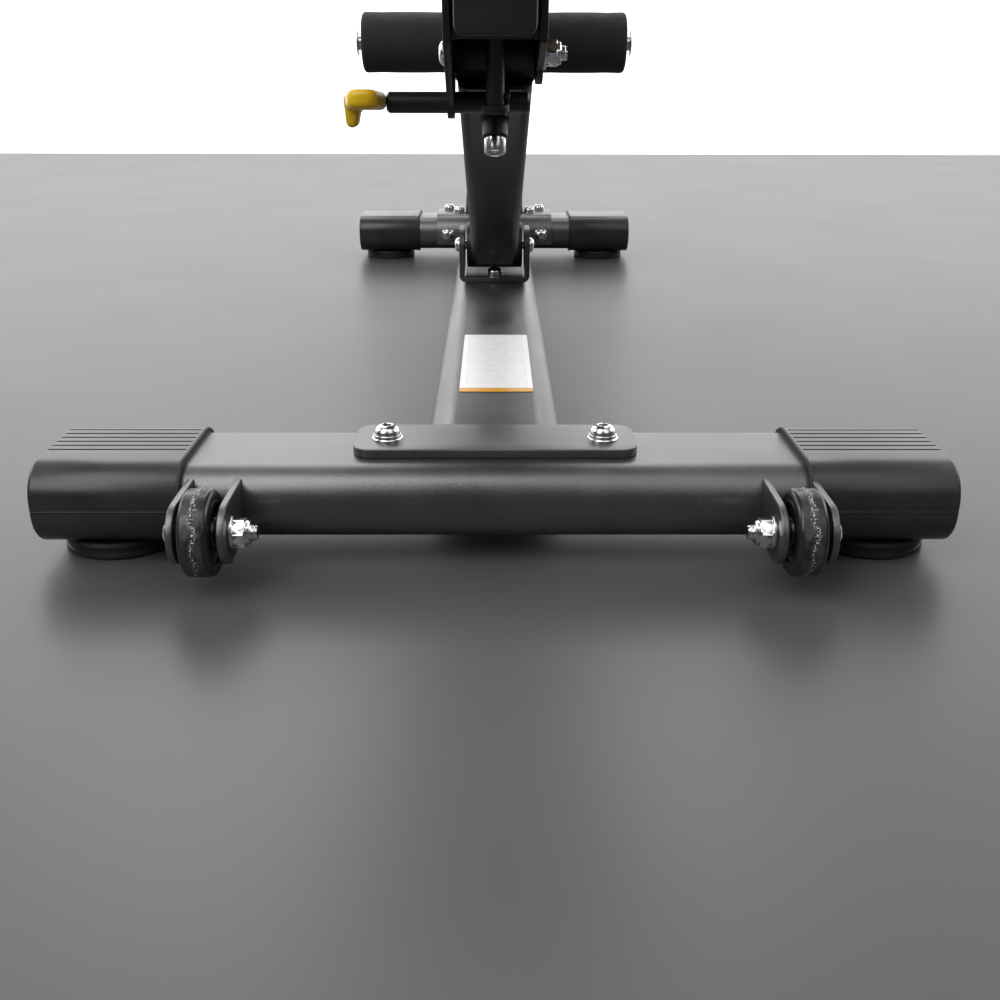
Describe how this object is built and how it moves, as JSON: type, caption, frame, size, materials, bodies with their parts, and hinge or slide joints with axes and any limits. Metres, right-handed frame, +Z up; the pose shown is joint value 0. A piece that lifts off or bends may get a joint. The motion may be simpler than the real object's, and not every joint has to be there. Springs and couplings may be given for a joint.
{
  "type": "decline sit up bench",
  "caption": "Decline sit-up bench: T-shaped tube base with transport wheels, padded rail tilting on a strut, telescoping leg hold with foam rollers.",
  "frame": {"origin": "on the floor, at the middle of the bench's bounding box", "axes": "+X right when looking along +Y, +Y from the wheel end to the leg-hold end, +Z up"},
  "size_m": [0.6, 1.5473, 0.701],
  "materials": {
    "charcoal_powder_coat": "satin, fine texture",
    "black_powder_coat": "satin",
    "zinc_hardware": "bright plated",
    "cap_rubber": "semi-gloss moulded",
    "foot_rubber": "matte",
    "wheel_rubber": "worn matte, dusty",
    "yellow_plastic": "satin moulded",
    "label_film": null,
    "black_vinyl": "grained, stitched",
    "black_foam": "fine closed-cell skin",
    "plywood": "raw edge",
    "black_plastic": "moulded"
  },
  "bodies": {
    "base": {"rear_crossbar": "charcoal_powder_coat", "front_crossbar": "charcoal_powder_coat", "rear_cap_left": "cap_rubber", "rear_cap_right": "cap_rubber", "front_cap_left": "cap_rubber", "front_cap_right": "cap_rubber", "rear_foot_left": "foot_rubber", "rear_foot_right": "foot_rubber", "front_foot_left": "foot_rubber", "front_foot_right": "foot_rubber", "wheel_bracket_left": "charcoal_powder_coat", "wheel_bracket_right": "charcoal_powder_coat", "wheel_axle_left": "zinc_hardware", "wheel_axle_right": "zinc_hardware", "joining_plate": "charcoal_powder_coat", "plate_bolt_left": "zinc_hardware", "plate_bolt_right": "zinc_hardware", "spine_tube": "charcoal_powder_coat", "warning_label": "label_film", "strut_bracket": "charcoal_powder_coat", "bracket_bolt": "zinc_hardware", "strut_pivot_bolt": "zinc_hardware", "saddle": "charcoal_powder_coat", "saddle_outer_bolt_left": "zinc_hardware", "saddle_outer_bolt_right": "zinc_hardware", "saddle_inner_bolt_left": "zinc_hardware", "saddle_inner_bolt_right": "zinc_hardware", "saddle_face_bolt_left": "zinc_hardware", "saddle_face_bolt_right": "zinc_hardware", "upright": "charcoal_powder_coat", "upright_head": "charcoal_powder_coat", "pad_pivot_bolt": "zinc_hardware", "leg_arm": "charcoal_powder_coat", "leg_receiver": "charcoal_powder_coat", "receiver_cap": "black_plastic", "knob_housing": "zinc_hardware", "knee_bar": "zinc_hardware"},
    "pad": {"pad_rail": "black_powder_coat", "rail_end_cap": "black_plastic", "pad_support_front": "black_powder_coat", "pad_support_rear": "black_powder_coat", "pad_board": "plywood", "pad_cushion": "black_vinyl"},
    "strut": {"strut_tube": "black_powder_coat"},
    "plunger": {"plunger_pin": "zinc_hardware"},
    "carriage": {"carriage": "black_powder_coat", "carriage_bolt": "zinc_hardware"},
    "release_lever": {"release_shaft": "black_powder_coat", "release_handle": "yellow_plastic"},
    "lock_pin": {"lock_pin": "black_powder_coat"},
    "leg_post": {"leg_post": "black_powder_coat", "leg_post_cap": "black_plastic", "ankle_bar": "zinc_hardware"},
    "pull_knob": {"pull_knob": "yellow_plastic"},
    "wheel_left": {"wheel_left": "wheel_rubber"},
    "wheel_right": {"wheel_right": "wheel_rubber"},
    "knee_roller_left": {"knee_roller_left": "black_foam"},
    "knee_roller_right": {"knee_roller_right": "black_foam"},
    "ankle_roller_left": {"ankle_roller_left": "black_foam"},
    "ankle_roller_right": {"ankle_roller_right": "black_foam"}
  },
  "joints": [
    {"name": "pad_tilt", "type": "hinge", "parent": "base", "child": "pad", "pos_m": [0, 0.51185, 0.6], "axis": [-1, 0, 0], "range_deg": [0, 9]},
    {"name": "strut_tilt", "type": "hinge", "parent": "base", "child": "strut", "pos_m": [0, -0.04715, 0.105], "axis": [-1, 0, 0], "range_deg": [0, 22.54]},
    {"name": "carriage_pivot", "type": "hinge", "parent": "strut", "child": "carriage", "pos_m": [0, -0.55565, 0.31459], "axis": [-1, 0, 0], "range_deg": [-13.54, 0]},
    {"name": "lever_pull", "type": "hinge", "parent": "carriage", "child": "release_lever", "pos_m": [0, -0.57044, 0.28331], "axis": [1, 0, 0], "range_deg": [0, 24], "stiffness_Nm_per_rad": 1.2, "springref_deg": -20.05},
    {"name": "lock_pin_slide", "type": "slide", "parent": "carriage", "child": "lock_pin", "axis": [0, 0.209, -0.9779], "range_m": [0, 0.0096]},
    {"name": "plunger_pull", "type": "slide", "parent": "strut", "child": "plunger", "axis": [0, -0.3811, -0.9245], "range_m": [0, 0.008], "stiffness_N_per_m": 600, "springref_m": -0.006},
    {"name": "leg_slide", "type": "slide", "parent": "base", "child": "leg_post", "axis": [0, 0.4003, -0.9164], "range_m": [0, 0.12]},
    {"name": "knob_pull", "type": "slide", "parent": "base", "child": "pull_knob", "axis": [0, 0.9164, 0.4003], "range_m": [0, 0.01], "stiffness_N_per_m": 700, "springref_m": -0.006},
    {"name": "wheel_spin_left", "type": "hinge", "parent": "base", "child": "wheel_left", "pos_m": [-0.1808, -0.74615, 0.0402], "axis": [1, 0, 0], "continuous": true},
    {"name": "wheel_spin_right", "type": "hinge", "parent": "base", "child": "wheel_right", "pos_m": [0.1901, -0.74615, 0.0402], "axis": [1, 0, 0], "continuous": true},
    {"name": "knee_roller_spin_left", "type": "hinge", "parent": "base", "child": "knee_roller_left", "pos_m": [-0.148, 0.58581, 0.65122], "axis": [1, 0, 0], "continuous": true},
    {"name": "ankle_roller_spin_left", "type": "hinge", "parent": "leg_post", "child": "ankle_roller_left", "pos_m": [-0.148, 0.72393, 0.33507], "axis": [1, 0, 0], "continuous": true},
    {"name": "knee_roller_spin_right", "type": "hinge", "parent": "base", "child": "knee_roller_right", "pos_m": [0.148, 0.58581, 0.65122], "axis": [1, 0, 0], "continuous": true},
    {"name": "ankle_roller_spin_right", "type": "hinge", "parent": "leg_post", "child": "ankle_roller_right", "pos_m": [0.148, 0.72393, 0.33507], "axis": [1, 0, 0], "continuous": true}
  ],
  "couplings": [
    {"joint": "strut_tilt", "follows": "pad_tilt", "ratio": 2.4986},
    {"joint": "carriage_pivot", "follows": "pad_tilt", "ratio": -1.4986},
    {"joint": "lock_pin_slide", "follows": "lever_pull", "m_per_rad": 0.02268}
  ]
}
